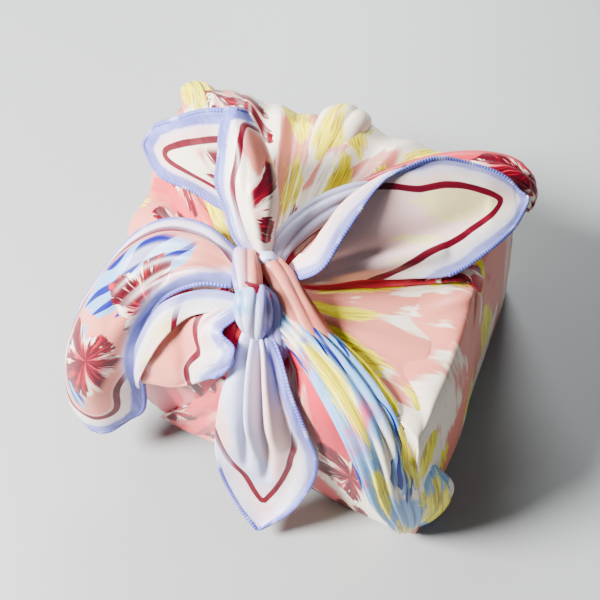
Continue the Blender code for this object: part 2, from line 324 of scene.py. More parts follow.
# How each sheet is finished: steps along and across, flat size as width and length, flat area
# in square metres, how it is held, pleats across it, their depth at the knot, flutter of its
# edges, its print, and where on the print it lies
SheetFinish = namedtuple(
    "SheetFinish", "along across flat area held pleats depth flutter print place_x place_y"
)
SHEET_FINISH = {
    "right_end": (90, 60, (90, 140), 0.0066, "draped", 3, 0.8, 0.9, "end", 0, 0),
    "left_end": (90, 60, (85, 150), 0.0092, "draped", 4, 1.0, 1.0, "left", 19, -24),
    "left_end_lining": (60, 50, (50, 64), 0.0025, "folded", 3, 1.2, 1.0, "lining", 50, 30),
    "left_end_turn": (60, 16, (14, 88), 0.0010, "folded", 0, 0.0, 0.6, "end", 0, 90),
    "front_end": (100, 60, (60, 140), 0.0060, "hung", 4, 1.4, 0.8, "petal", 300, 0),
    "back_end": (80, 80, (90, 110), 0.0066, "folded", 3, 0.9, 0.8, "back", 43, 58),
    "under_layer": (60, 16, (20, 105), 0.0020, "folded", 2, 0.8, 0.8, "wine", 40, 10),
    "top_flap": (90, 60, (90, 170), 0.0135, "folded", 0, 0.0, 0.0, "flap", 52, 14),
    "front_tuck": (50, 30, (42, 110), 0.0030, "folded", 3, 1.0, 0.0, "bulge", 0, 0),
}

# Hems. First column, then last column: how many mm are folded under at the knot, and the share
# of the length where the hem comes out, or None where there is no hem. Then come the share
# across from which the tip has its hem, or None, whether the hem is a stitched roll or lies
# flat, and how strong the lavender is along the first and then the last column, each at the
# knot and at the tip
Hem = namedtuple("Hem", "first last tip stitched first_knot first_tip last_knot last_tip")
HEMS = {
    "right_end": ((0, 0), (34, 0.55), 0.0, True, 0.5, 0.3, 0.3, 0.7),
    "left_end": ((0, 0), (0, 0), 0.0, True, 0.2, 0.2, 0.8, 1.0),
    "left_end_lining": (None, (0, 0), None, True, 0.6, 0.6, 0.6, 0.6),
    "left_end_turn": ((0, 0), None, None, False, 0.5, 0.5, 0.0, 0.0),
    "front_end": ((52, 0.68), (0, 0), 0.0, True, 0.0, 0.1, 1.0, 0.2),
    "back_end": ((0, 0), (0, 0), 0.0, True, 0.1, 1.0, 0.8, 0.8),
}

# The printed line inside each hem, with the same columns as far as the tip
LINES = {
    "right_end": ((0, 0), (34, 0.55), 0.0),
    "left_end": ((6, 2), (72, 0.72), 0.0),
    "left_end_lining": (None, (0, 0), None),
    "front_end": ((52, 0.77), (30, 0.62), 0.0),
    "back_end": ((12, 0.75), (4, 2), 0.55),
}

# Printed lines that cross a sheet: the shares of its length at the first and the last column,
# and that length in mm
CROSSINGS = {
    "left_end_turn": (0.36, 0.44, 95.0),
}

# Creases of the sheets: from and to, each as share along and share across, height, half width
CREASES = {
    "right_end": (
        (0.08, 0.74, 0.75, 0.60, 4.2, 5.0),
        (0.06, 0.86, 0.58, 0.80, -3.0, 4.5),
        (0.30, 0.42, 0.90, 0.40, -1.2, 6.0),
    ),
    "left_end": (
        (0.05, 0.35, 0.55, 0.30, 1.8, 5.0),
        (0.05, 0.62, 0.50, 0.66, -2.0, 4.5),
        (0.25, 0.85, 0.75, 0.72, 1.4, 5.0),
        (0.55, 0.20, 0.95, 0.45, -1.2, 6.0),
    ),
    "left_end_lining": (
        (0.05, 0.55, 0.60, 0.78, 2.0, 4.0),
        (0.30, 0.35, 0.95, 0.62, -2.0, 4.5),
    ),
    "front_end": (
        (0.02, 0.24, 0.66, 0.32, -5.5, 2.6),
        (0.02, 0.40, 0.60, 0.42, 3.0, 2.4),
        (0.02, 0.55, 0.70, 0.52, -6.0, 2.6),
        (0.02, 0.68, 0.55, 0.66, 3.0, 2.8),
        (0.05, 0.82, 0.55, 0.80, -4.0, 2.6),
        (0.40, 0.78, 0.85, 0.72, -1.4, 5.0),
    ),
    "back_end": (
        (0.10, 0.20, 0.95, 0.26, 1.4, 5.0),
        (0.20, 0.70, 0.95, 0.78, -2.2, 8.0),
        (0.10, 0.36, 0.80, 0.40, -1.2, 4.0),
    ),
    "top_flap": (
        (0.02, 0.62, 0.22, 0.78, -3.0, 4.0),
        (0.05, 0.35, 0.40, 0.50, 1.6, 6.0),
        (0.10, 0.75, 0.45, 0.90, 2.0, 5.0),
        (0.48, 0.03, 0.80, 0.70, 1.3, 3.0),
        (0.30, 0.20, 0.46, 0.04, -1.0, 5.0),
    ),
    "front_tuck": ((0.1, 0.3, 0.9, 0.6, 1.2, 4.0),),
}

# The level between the tops and the dips of folds, as a share of their height
FOLD_LEVEL = 0.6

# Mesh steps of the cover
SIDE_STEPS = 76
CORNER_STEPS = 14
BASE_RINGS = 5
WALL_RINGS = 36
TOP_RINGS = 84

# Mesh steps of the rolls: for each row gap, and round
ROLL_STEPS = 15
ROLL_SIDES = 112

# How strong the lavender of a cloth edge on a roll is, and the mm by which each letter's number
# in a roll's name shifts its print
ROLL_WASH = 0.4
NAME_SHIFT = 7.0

# The cloth: thickness of the cover and the free ends, and of the other sheets, and the share of
# a sheet's length that its pleats take from the knot on
CLOTH_THICKNESS = 0.8
LAYER_THICKNESS = 1.2
PLEAT_REACH = 0.55

# The rolled hem: its size, how far it stands past the sheet's edge, the sides of its tube, the
# pattern's length round it in metres, and the stitches' pitch and height as a share
HEM_WIDTH = 2.6
HEM_THICKNESS = 1.6
HEM_OVERHANG = 0.6
HEM_SIDES = 10
HEM_ROUND = 0.010
STITCH_PITCH = 1.7
STITCH_HEIGHT = 0.10

# Rounds of smoothing of the printed line and of the hem, and the distance in mm that stands for
# no hem or no line
LINE_EASING = 7
HEM_EASING = 6
NO_HEM = 500.0

# Steps down and right over the grid along which the way to the nearest hem is measured
HOPS = ((0, 1), (1, 0), (1, 1), (1, -1), (1, 2), (2, 1), (1, -2), (2, -1))


def curve(rows, places):
    """Points of a smooth curve through the rows, at places counted in rows."""
    rows = np.asarray(rows, float)
    ends = np.concatenate([[2 * rows[0] - rows[1]], rows, [2 * rows[-1] - rows[-2]]])
    index = np.clip(np.floor(places).astype(int), 0, len(rows) - 2)
    t = (places - index).reshape((-1,) + (1,) * (rows.ndim - 1))
    a, b, c, d = ends[index], ends[index + 1], ends[index + 2], ends[index + 3]
    first = b + 0.5 * t * (c - a)
    return (
        first
        + t * t * (a - 2.5 * b + 2 * c - 0.5 * d)
        + t**3 * (-0.5 * a + 1.5 * b - 1.5 * c + 0.5 * d)
    )


def unit(vectors):
    return vectors / np.maximum(np.linalg.norm(vectors, axis=-1, keepdims=True), 1e-9)


def grid_normals(points):
    return unit(np.cross(np.gradient(points, axis=0), np.gradient(points, axis=1)))


def arc(points, axis):
    """Length along the grid from its first line, in mm."""
    steps = np.linalg.norm(np.diff(points, axis=axis), axis=-1)
    start = np.zeros_like(np.take(steps, [0], axis=axis))
    return np.concatenate([start, np.cumsum(steps, axis=axis)], axis=axis)


def flat_places(points, start):
    """The flat cloth's coordinates in metres: length across from the middle, and length along."""
    across = arc(points, 1)
    across = across - across[:, [across.shape[1] // 2]]
    along = np.repeat(arc(points, 0).mean(axis=1, keepdims=True), points.shape[1], axis=1)
    return np.stack([across + start[0], along + start[1]], axis=-1) * MM


def hem_distance(points, first, last, tip):
    """Way along the cloth from each point to the nearest hem, passed on between neighbours."""
    reach = np.full(points.shape[:2], NO_HEM)
    height, width = reach.shape
    along = np.linspace(0, 1, height)
    for column, fold in ((0, first), (-1, last)):
        if fold is not None:
            hidden, out = fold
            reach[:, column] = hidden * np.clip(1 - along / max(out, 0.01), 0, 1)
    if tip is not None:
        reach[-1, int(tip * width) :] = 0
    for _ in range(max(height, width)):
        for down, right in HOPS:
            near = (slice(0, height - down), slice(max(0, -right), width - max(0, right)))
            far = (slice(down, height), slice(max(0, right), width + min(0, right)))
            hop = np.linalg.norm(points[near] - points[far], axis=-1)
            reach[near] = np.minimum(reach[near], reach[far] + hop)
            reach[far] = np.minimum(reach[far], reach[near] + hop)
    return reach


def line_gap(name, points):
    """How far each point is from the middle of the printed line, its corners a little eased."""
    along = np.linspace(0, 1, points.shape[0])[:, None]
    place = np.linspace(0, 1, points.shape[1])[None]
    if name in CROSSINGS:
        first, last, length = CROSSINGS[name]
        return (along - first - (last - first) * place) * length
    if name not in LINES:
        return np.full(points.shape[:2], NO_HEM)
    first, last, tip = LINES[name]
    reach = hem_distance(points, first, last, tip)
    for _ in range(LINE_EASING):
        inside = reach[1:-1, 1:-1]
        mean = (reach[:-2, 1:-1] + reach[2:, 1:-1] + reach[1:-1, :-2] + reach[1:-1, 2:]) / 4
        inside += 0.8 * (mean - inside)
    slope = np.zeros(reach.shape)
    for axis in (0, 1):
        run = np.linalg.norm(np.gradient(points, axis=axis), axis=-1)
        slope += (np.gradient(reach, axis=axis) / np.maximum(run, 0.05)) ** 2
    return (reach - LINE_DISTANCE) / np.clip(np.sqrt(slope), 0.4, 1.0)


def no_hem(shape):
    """The attributes of cloth without an edge."""
    none = np.zeros(shape)
    return {"hem": none + NO_HEM, "line": none + NO_HEM, "wash": none, "dip": none.copy()}


def hem_fields(name, points):
    """The attributes of a free end: way to its hem, to its line, and strength of the lavender."""
    fields = no_hem(points.shape[:2])
    if name in HEMS:
        hem = Hem(*HEMS[name])
        along = np.linspace(0, 1, points.shape[0])[:, None]
        place = np.linspace(0, 1, points.shape[1])[None]
        first = hem.first_knot + (hem.first_tip - hem.first_knot) * along
        last = hem.last_knot + (hem.last_tip - hem.last_knot) * along
        fields["hem"] = hem_distance(points, hem.first, hem.last, hem.tip)
        fields["line"] = line_gap(name, points)
        fields["wash"] = first + (last - first) * place
    return fields


def cloth_mesh(name, points, flat, fields):
    """A grid of quads moved onto the points, with its flat place as a UV map, and attributes."""
    rows, columns = points.shape[:2]
    bm = bmesh.new()
    bmesh.ops.create_grid(bm, x_segments=columns - 1, y_segments=rows - 1, size=0.5)
    flat_layer = bm.loops.layers.uv.new("cloth")
    layers = {key: bm.verts.layers.float.new(key) for key in fields}
    place = {}
    for vert in bm.verts:
        i = round((vert.co.y + 0.5) * (rows - 1))
        j = round((vert.co.x + 0.5) * (columns - 1))
        place[vert] = (i, j)
    for vert, (i, j) in place.items():
        vert.co = points[i, j] * MM
        for key, layer in layers.items():
            vert[layer] = fields[key][i, j]
    for face in bm.faces:
        face.smooth = True
        for loop in face.loops:
            loop[flat_layer].uv = flat[place[loop.vert]]
    return finished(bm, name)


def finished(bm, name):
    """Merges what meets, turns the faces outwards and makes the object."""
    bmesh.ops.remove_doubles(bm, verts=bm.verts, dist=0.01 * MM)
    bmesh.ops.recalc_face_normals(bm, faces=bm.faces)
    mesh = bpy.data.meshes.new(name)
    bm.to_mesh(mesh)
    bm.free()
    piece = bpy.data.objects.new(name, mesh)
    bpy.context.scene.collection.objects.link(piece)
    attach(piece, "root")
    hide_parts("wrap")
    return piece


def thicken(piece, thickness, offset=0.0):
    """Gives the sheet its thickness in mm, on both sides or all on one."""
    solid = piece.modifiers.new("cloth thickness", "SOLIDIFY")
    solid.thickness = thickness * MM
    solid.offset = offset


def outline(corners, side_steps, corner_steps):
    """The outline through four corners, each eased, and each point's place round it."""
    corners = [np.array(c, float) for c in corners]
    points, places = [], []
    for i, corner in enumerate(corners):
        before, after = corners[i - 1], corners[(i + 1) % 4]
        start = corner + unit(before - corner) * CORNER_ROUND
        end = corner + unit(after - corner) * CORNER_ROUND
        share = CORNER_ROUND / np.linalg.norm(after - corner)
        for t in np.linspace(0, 1, corner_steps + 1):
            way = (1 - t) ** 2 * start + 2 * t * (1 - t) * corner + t * t * end
            points.append(0.45 * way + 0.55 * (corner + (way - corner) * abs(2 * t - 1)))
            places.append((i + (t - 0.5) * 2 * share) % 4)
        far = after + unit(corner - after) * CORNER_ROUND
        for t in np.arange(1, side_steps) / side_steps:
            points.append(end + (far - end) * t)
            places.append(i + share + (1 - 2 * share) * t)
    return np.array(points), np.array(places)


def gather_height(places, reach):
    """Height of the gathers at places round the parcel, this share down the wall."""
    total = np.zeros(len(places))
    for place, half_width, height, down in GATHERS:
        apart = (places - place + 2) % 4 - 2
        fade = max(0.0, 1 - reach / down)
        total += height * fade * np.exp(-((apart / half_width) ** 2))
    return total


def rib_height(places, share):
    """Ribs that fan out from the knot between the gathers, round on top and sharp between."""
    height = np.interp(places, RIB_PLACES, RIB_HEIGHTS)
    sway = 0.35 * np.sin(2.5 * math.pi * places) + 0.5 * share * np.sin(3.5 * math.pi * places)
    wide = np.abs(np.sin(math.pi * RIBS_TO_A_SIDE * places + sway)) - FOLD_LEVEL
    fine = np.abs(np.sin(2 * math.pi * RIBS_TO_A_SIDE * places + 2 * sway)) - FOLD_LEVEL
    rise = math.sin(math.pi * min(1.0, 0.08 + share)) ** 0.5
    return height * rise * (1.5 * wide + 0.8 * share * fine)


def cover():
    """The parcel's cloth: underside, wall, rim and the top that is drawn up to the neck."""
    base, places = outline(BASE_CORNERS, SIDE_STEPS, CORNER_STEPS)
    rim, _ = outline(RIM_CORNERS, SIDE_STEPS, CORNER_STEPS)
    outward = unit(rim)
    rings, dips = [], [np.zeros(len(base))] * (BASE_RINGS + WALL_RINGS)
    foot = base - outward * WALL[0][1]
    for share in np.linspace(0, 0.9, BASE_RINGS):
        rings.append(np.column_stack([foot * share, np.zeros(len(base))]))
    for height, inset in curve(WALL, np.linspace(0, len(WALL) - 1, WALL_RINGS)):
        share = height / RIM_HEIGHT
        out = WALL_BULGE * math.sin(math.pi * share) - inset + gather_height(places, 1 - share)
        xy = base + (rim - base) * share + outward * out.reshape(-1, 1)
        rings.append(np.column_stack([xy, np.full(len(xy), max(0.0, height))]))
    knot = np.array(KNOT)
    inner = rim - outward * RIM_ROUND
    neck = knot + NECK_RADIUS * unit(inner - knot)
    for share in np.linspace(0.02, 1, TOP_RINGS):
        xy = inner + (neck - inner) * share
        lift = (NECK_HEIGHT - RIM_HEIGHT) * share**3 + TOP_CROWN * math.sin(math.pi * share)
        z = RIM_HEIGHT + lift + gather_height(places, 0) * (1 - 0.5 * share)
        ribs = rib_height(places, share)
        rings.append(np.column_stack([xy, z + ribs]))
        # Painted shade in the dips between the ribs
        dips.append(np.clip(-ribs / 3, 0, 1))
    top = np.array([*KNOT, NECK_HEIGHT])
    rings.append(np.tile(top, (len(places), 1)))
    points = np.array(rings)
    points = np.concatenate([points, points[:, :1]], axis=1)
    flat = wall_flat(points)
    fields = no_hem(points.shape[:2])
    fields["dip"][:-1, :-1] = dips
    piece = cloth_mesh("cover", points, flat, fields)
    thicken(piece, CLOTH_THICKNESS, offset=-1.0)
    return piece


def wall_flat(points):
    """Flat place of the cover in metres: distance round the wall, and length up and over it."""
    outer = points[BASE_RINGS + WALL_RINGS // 2]
    round_it = arc(outer[None], 1)[0]
    up = arc(points, 0)
    return np.stack([np.tile(round_it, (len(points), 1)), up], axis=-1) * MM


def roll(name, rows, finish):
    """A roll of cloth as a closed oval tube, its folds round on top and sharp between."""
    steps, sides = ROLL_STEPS * (len(rows) - 1), ROLL_SIDES
    path = curve(rows, np.linspace(0, len(rows) - 1, steps + 1))
    centres, widths, depths = path[:, :3], path[:, 3], path[:, 4]
    ahead = unit(np.gradient(centres, axis=0))
    level = np.array([0, 0, 1.0])
    if finish.across is None:
        side = unit(np.cross(ahead, level))
    else:
        heading = math.radians(finish.across)
        level = np.array([math.cos(heading), math.sin(heading), 0.0])
        side = unit(level - ahead * (ahead @ level)[:, None])
    up = np.cross(side, ahead)
    along = np.linspace(0, 1, steps + 1)[:, None]
    turn = np.linspace(0, 2 * math.pi, sides + 1)[None]
    sway = 0.5 * np.sin(2 * turn + 5 * along)
    wound = math.pi * finish.winding * along
    ridge = np.abs(np.sin(finish.folds / 2 * turn + wound + sway)) - FOLD_LEVEL
    swell = 1 + finish.depth * ridge * (0.75 + 0.25 * np.cos(turn * 2 + 1 + 4 * along))
    swell = swell * np.clip(np.minimum(along, 1 - along) * steps / 2, 0, 1) ** 0.5
    points = (
        centres[:, None]
        + side[:, None] * (widths[:, None] / 2 * np.cos(turn) * swell)[..., None]
        + up[:, None] * (depths[:, None] / 2 * np.sin(turn) * swell)[..., None]
    )
    points[..., 2] = np.maximum(points[..., 2], 0)
    flat = flat_places(points, (sum(map(ord, name)) * NAME_SHIFT, 0.0))
    fields = no_hem(points.shape[:2])
    # Painted shade at the bottom of each fold round the roll
    fields["dip"] = np.clip(-ridge / FOLD_LEVEL, 0, 1) ** 2 * min(1.0, finish.depth * 4)
    if finish.edge is not None:
        apart = abs((turn - math.radians(finish.edge) + math.pi) % (2 * math.pi) - math.pi)
        fields["hem"] = apart * (widths[:, None] + depths[:, None]) / 4
        fields["wash"] = np.full(points.shape[:2], ROLL_WASH)
    return cloth_mesh(name, points, flat, fields)


def sheet(name, rows, finish):
    """A sheet of cloth through its sections, pleated where it leaves the knot, and creased."""
    rows = np.asarray(rows, float)
    lengthwise = curve(rows, np.linspace(0, len(rows) - 1, finish.along + 1))
    across = np.linspace(0, rows.shape[1] - 1, finish.across + 1)
    points = curve(lengthwise.transpose(1, 0, 2), across).transpose(1, 0, 2)
    along = np.linspace(0, 1, finish.along + 1)[:, None]
    place = np.linspace(0, 1, finish.across + 1)[None]
    flat = flat_places(points, (finish.place_x, finish.place_y))
    fields = hem_fields(name, points)
    fade = np.clip(1 - along / PLEAT_REACH, 0, 1) * np.clip(along * 12, 0, 1)
    folds = np.abs(np.sin(math.pi * finish.pleats * place + 0.4)) - FOLD_LEVEL
    height = finish.depth * fade * 2 * folds
    edge = np.abs(2 * place - 1) ** 3 * np.clip(along * 4, 0, 1)
    wave = np.sin(2 * math.pi * (3.3 * along + 0.4 * place))
    height = height + finish.flutter * edge * wave
    for crease in CREASES.get(name, ()):
        height = height + crease_rise(flat, along, place, crease)
    # Painted shade where the sheet's pleats, flutter and creases dip
    fields["dip"] = np.clip(-height / 4, 0, 1)
    points = points + grid_normals(points) * height[..., None]
    return points, cloth_mesh(name, points, flat, fields)


def crease_rise(flat, along, place, crease):
    """Height of one soft ridge or trough, which fades towards both its ends."""
    from_along, from_across, to_along, to_across, height, half_width = crease
    run = np.clip((along - from_along) / (to_along - from_along), 0, 1)
    line = from_across + (to_across - from_across) * run
    wide = np.ptp(flat[..., 0], axis=1, keepdims=True) / MM
    beside = (place - line) * wide
    length = np.ptp(flat[..., 1]) / MM
    beyond = (along - (from_along + (to_along - from_along) * run)) * length
    fade = np.sin(math.pi * np.clip(0.12 + 0.88 * run, 0, 1)) ** 0.5
    return height * fade * np.exp(-(beside**2 + beyond**2) / half_width**2)


def hem_roll(name, points, hem):
    """The rolled and stitched hem: an oval tube along the sheet's hemmed edges.

    Lines of the grid a little inside the edges say which way is inwards.
    """
    height = len(points) - 1
    edge, inner = [], []
    if hem.first is not None:
        start = math.ceil(hem.first[1] * height)
        edge.append(points[start:, 0])
        inner.append(points[start:, 2])
    if hem.tip is not None:
        edge.append(points[-1])
        inner.append(points[-4])
    if hem.last is not None:
        start = math.ceil(hem.last[1] * height)
        edge.append(points[start:, -1][::-1])
        inner.append(points[start:, -3][::-1])
    edge, inner = np.concatenate(edge), np.concatenate(inner)
    keep = np.concatenate([[True], np.linalg.norm(np.diff(edge, axis=0), axis=1) > 0.4])
    edge, inner = edge[keep], inner[keep]
    length = arc(edge[None], 1)[0]
    run = np.arange(0, length[-1], STITCH_PITCH / 4)
    edge = np.stack([np.interp(run, length, edge[:, k]) for k in range(3)], axis=-1)
    inner = np.stack([np.interp(run, length, inner[:, k]) for k in range(3)], axis=-1)
    for _ in range(HEM_EASING):
        edge[1:-1] = (edge[:-2] + 2 * edge[1:-1] + edge[2:]) / 4
        inner[1:-1] = (inner[:-2] + 2 * inner[1:-1] + inner[2:]) / 4
    ahead = unit(np.gradient(edge, axis=0))
    inward = inner - edge
    inward = unit(inward - ahead * (inward * ahead).sum(axis=1, keepdims=True))
    face = np.cross(ahead, inward)
    centre = edge + inward * (HEM_WIDTH / 2 - HEM_OVERHANG)
    turn = np.linspace(0, 2 * math.pi, HEM_SIDES + 1)[None]
    bead = 1 + STITCH_HEIGHT * np.cos(2 * math.pi * run / STITCH_PITCH)[:, None]
    ends = np.clip(np.minimum(run, run[-1] - run)[:, None] / 2, 0, 1) ** 0.5
    tube = (
        centre[:, None]
        + inward[:, None] * (HEM_WIDTH / 2 * np.cos(turn) * ends)[..., None]
        + face[:, None] * (HEM_THICKNESS / 2 * np.sin(turn) * bead * ends)[..., None]
    )
    tube[..., 2] = np.maximum(tube[..., 2], 0.05)
    around = np.repeat(turn / (2 * math.pi) * HEM_ROUND, len(run), axis=0)
    flat = np.stack([np.repeat(run[:, None] * MM, HEM_SIDES + 1, axis=1), around], axis=-1)
    return cloth_mesh(name, tube, flat, {})


# Colours of the print, in sRGB, and last of all the painted shade for the bottoms of folds
PALE_PINK = (0.880, 0.520, 0.450)
PEARL = (0.950, 0.790, 0.780)
DEEP_PINK = (0.800, 0.180, 0.260)
CREAM = (0.970, 0.920, 0.840)
WHITE = (0.980, 0.960, 0.950)
BURGUNDY = (0.330, 0.000, 0.090)
WINE = (0.440, 0.000, 0.120)
CRIMSON = (0.740, 0.010, 0.130)
YELLOW = (0.960, 0.920, 0.000)
OCHRE = (0.740, 0.620, 0.000)
PALE_YELLOW = (0.960, 0.890, 0.640)
LIGHT_BLUE = (0.450, 0.650, 0.850)
NAVY = (0.020, 0.030, 0.480)
LAVENDER = (0.460, 0.480, 0.800)
PALE_LAVENDER = (0.800, 0.810, 0.940)
DEEP_LAVENDER = (0.300, 0.330, 0.700)
SHADE = (0.230, 0.070, 0.090)

# The border, in mm in from the hem: its width, the middle and the width of the printed line, and
# how far inside the line the motifs start
BORDER_WIDTH = 8.5
LINE_DISTANCE = 15.0
LINE_WIDTH = 3.5
MOTIFS_FROM = 4.0

# The motifs, each in a cell of its own: the cell's size in metres, the shift of the cells, and
# for leaves the strokes across them
BLUE_LEAVES = (0.080, 7.9, 9.0)
YELLOW_LEAVES = (0.055, 3.3, 30.0)
BLOOMS = (0.064, 1.7)
ANY_TURN = 6.0

# Threads of the weave to a metre, across and along
WEAVE = (2600, 1500)

# How strongly the painted shade darkens the bottom of a fold
FOLD_SHADE = 0.48

# Each print: ground, patches on it, share of patches, then of blooms, yellow leaves, blue
# leaves and deep pink, how far the leaves turn from the cloth's length in radians, and how
# narrow the motifs are across it
Print = namedtuple("Print", "ground patch patches blooms yellows blues pinks spread narrow")
PRINTS = {
    "petal": (PEARL, PALE_LAVENDER, 0.25, 0.00, 0.00, 0.15, 0.00, 1.0, 1.4),
    "end": (PEARL, PALE_YELLOW, 0.40, 0.00, 0.15, 0.00, 0.00, 3.0, 1.0),
    "left": (PALE_PINK, CREAM, 0.15, 0.98, 0.00, 0.40, 0.10, 1.2, 1.0),
    "back": (PALE_PINK, CREAM, 0.70, 0.95, 0.15, 0.00, 0.10, 1.0, 1.3),
    "lining": (PALE_PINK, CREAM, 0.20, 0.00, 0.20, 0.00, 0.10, 1.5, 1.0),
    "flap": (PALE_PINK, CREAM, 0.40, 0.00, 0.80, 0.00, 0.00, 1.4, 1.2),
    "blue": (LIGHT_BLUE, CREAM, 0.65, 0.00, 0.75, 0.98, 0.05, 0.2, 2.4),
    "leafy": (CREAM, LIGHT_BLUE, 0.75, 0.15, 0.60, 0.20, 0.00, 0.6, 1.6),
    "sky": (LIGHT_BLUE, PALE_LAVENDER, 0.50, 0.00, 0.00, 0.60, 0.00, 0.2, 2.0),
    "yellow": (CREAM, PALE_PINK, 0.40, 0.15, 0.98, 0.20, 0.10, 0.5, 1.6),
    "wine": (DEEP_PINK, CREAM, 0.20, 0.98, 0.10, 0.00, 0.80, 0.4, 2.0),
    "pink": (PALE_PINK, CREAM, 0.30, 0.00, 0.10, 0.00, 0.10, 0.6, 1.5),
    "knot": (PALE_PINK, LIGHT_BLUE, 0.65, 0.00, 0.00, 0.20, 0.05, 0.6, 1.5),
    "crimson": (WINE, CRIMSON, 0.45, 0.00, 0.00, 0.00, 0.00, 0.6, 1.5),
    "bulge": (PALE_PINK, CREAM, 0.30, 0.98, 0.00, 0.00, 0.90, 0.6, 1.8),
}

# The cover's print on each wall from right, back and left to front, and where one wall ends
COVER_PRINTS = (
    (PALE_PINK, CREAM, 0.40, 0.15, 0.45, 0.00, 0.00, 0.9, 1.2),
    (CREAM, PALE_PINK, 0.45, 0.25, 0.98, 0.30, 0.10, 0.9, 1.3),
    (PALE_PINK, CREAM, 0.20, 0.85, 0.25, 0.15, 0.50, 0.9, 1.2),
    (DEEP_PINK, CREAM, 0.60, 0.98, 0.10, 0.25, 0.90, 0.9, 1.4),
)
COVER_SIDES = (0.178, 0.375, 0.545)


def linear(rgb):
    """An sRGB colour as the linear one that a shader takes."""
    return tuple(c / 12.92 if c <= 0.04045 else ((c + 0.055) / 1.055) ** 2.4 for c in rgb) + (1.0,)


class Value:
    """A socket that takes part in Python sums and adds the Math nodes for them."""

    def __init__(self, tree, socket):
        self.tree, self.socket = tree, socket

    def maths(self, operation, *others):
        return self.tree.node("ShaderNodeMath", {"operation": operation}, self, *others)

    def __add__(self, other):
        return self.maths("ADD", other)

    __radd__ = __add__

    def __mul__(self, other):
        return self.maths("MULTIPLY", other)

    __rmul__ = __mul__

    def __sub__(self, other):
        return self.maths("SUBTRACT", other)

    def __rsub__(self, other):
        return self * -1 + other

    def __truediv__(self, other):
        return self.maths("DIVIDE", other)

    def __pow__(self, other):
        return self.maths("POWER", other)

    def __abs__(self):
        return self.maths("ABSOLUTE")

    def step(self, start, full):
        """0 up to start and 1 from full, smooth between."""
        settings = {"interpolation_type": "SMOOTHSTEP"}
        return self.tree.node("ShaderNodeMapRange", settings, self, start, full, 0.0, 1.0)


class Tree:
    """A material's nodes, added one call at a time."""

    def __init__(self, name):
        self.material = bpy.data.materials.new(name)
        self.material.use_nodes = True
        self.nodes = self.material.node_tree.nodes
        self.links = self.material.node_tree.links
        self.shader = self.nodes["Principled BSDF"]

    def feed(self, socket, value):
        if isinstance(value, Value):
            self.links.new(value.socket, socket)
        else:
            socket.default_value = value

    def node(self, kind, settings, *inputs, out=0, **named):
        made = self.nodes.new(kind)
        for key, value in settings.items():
            setattr(made, key, value)
        open_sockets = [s for s in made.inputs if s.enabled]
        for socket, value in zip(open_sockets, inputs):
            self.feed(socket, value)
        for key, value in named.items():
            self.feed(made.inputs[key.replace("_", " ")], value)
        if out == "all":
            return {s.name: Value(self, s) for s in made.outputs if s.enabled}
        return Value(self, made.outputs[out])

    def mix(self, factor, first, second):
        """Colour first where the factor is 0 and second where it is 1."""
        made = self.nodes.new("ShaderNodeMix")
        made.data_type = "RGBA"
        for index, value in ((0, factor), (6, first), (7, second)):
            if isinstance(value, tuple):
                value = linear(value)
            self.feed(made.inputs[index], value)
        return Value(self, made.outputs[2])

    def noise(self, vector, scale, detail=2.0, roughness=0.5, distortion=0.0):
        return self.node(
            "ShaderNodeTexNoise",
            {"noise_dimensions": "2D"},
            Vector=vector,
            Scale=scale,
            Detail=detail,
            Roughness=roughness,
            Distortion=distortion,
        )

    def point(self, x, y):
        return self.node("ShaderNodeCombineXYZ", {}, x, y, 0.0)

    def parts(self, vector):
        made = self.node("ShaderNodeSeparateXYZ", {}, vector, out="all")
        return made["X"], made["Y"]


def motif_cells(tree, x, y, size, shift, spread):
    """Cells of that size in metres with one motif each: its own turned x and y, and chances."""
    bend = tree.noise(tree.point(x * 17 + shift, y * 17), 1.0, 1.0)
    x, y = x + (bend - 0.5) * size * 0.5, y + (bend - 0.5) * size * 0.35
    place = tree.point(x / size + shift, y / size + shift)
    cells = tree.node(
        "ShaderNodeTexVoronoi",
        {"voronoi_dimensions": "2D", "feature": "F1"},
        out="all",
        Vector=place,
        Scale=1.0,
        Randomness=0.32,
    )
    centre_x, centre_y = tree.parts(cells["Position"])
    chance = tree.node("ShaderNodeSeparateColor", {}, cells["Color"], out="all")
    turn = (chance["Red"] - 0.5) * spread + math.pi / 2
    cosine, sine = turn.maths("COSINE"), turn.maths("SINE")
    own_x = x / size + shift - centre_x
    own_y = y / size + shift - centre_y
    return (
        own_x * cosine + own_y * sine,
        own_y * cosine - own_x * sine,
        chance["Green"],
        chance["Blue"],
    )


def leaf_motif(tree, x, y, size, shift, strokes, share, spread):
    """Feathery leaves: whether a place is inside one, the strokes, its own y, and half width."""
    own_x, own_y, kept, odd = motif_cells(tree, x, y, size, shift, spread)
    bent = own_y + own_x * own_x * (odd - 0.5) * 1.5
    streak = tree.noise(tree.point(own_x * 2.5 + kept * 20, bent * strokes), 1.0, 2.0, 0.6)
    half_width = (1 - (own_x / 0.47) ** 2).maths("MAXIMUM", 0.0) * 0.27
    edge = half_width - abs(bent) + (streak - 0.52) * 0.42
    present = kept.maths("GREATER_THAN", 1.0 - share)
    return edge.step(0.0, 0.03) * present, streak, bent, half_width


def bloom_motif(tree, x, y, size, shift, share):
    """Open blooms: whether a place is inside one, its petals, its way out, and its streaks."""
    own_x, own_y, kept, odd = motif_cells(tree, x, y, size, shift, ANY_TURN)
    away = (own_x * own_x + own_y * own_y) ** 0.5
    angle = own_y.maths("ARCTAN2", own_x)
    lobe = abs((angle * 2.5 + odd * 6).maths("COSINE"))
    streak = tree.noise(tree.point(angle * 6 + kept * 9, away * 3), 1.0, 3.0, 0.65)
    reach = lobe**0.7 * 0.22 + 0.20 + (streak - 0.5) * 0.16
    present = kept.maths("GREATER_THAN", 1.0 - share)
    inside = (reach - away).step(0.0, 0.02) * present
    flame = (lobe * 0.9 + (streak - 0.5) * 2.2 - away / reach * 0.45).step(0.02, 0.14)
    return inside, flame, away / reach, streak


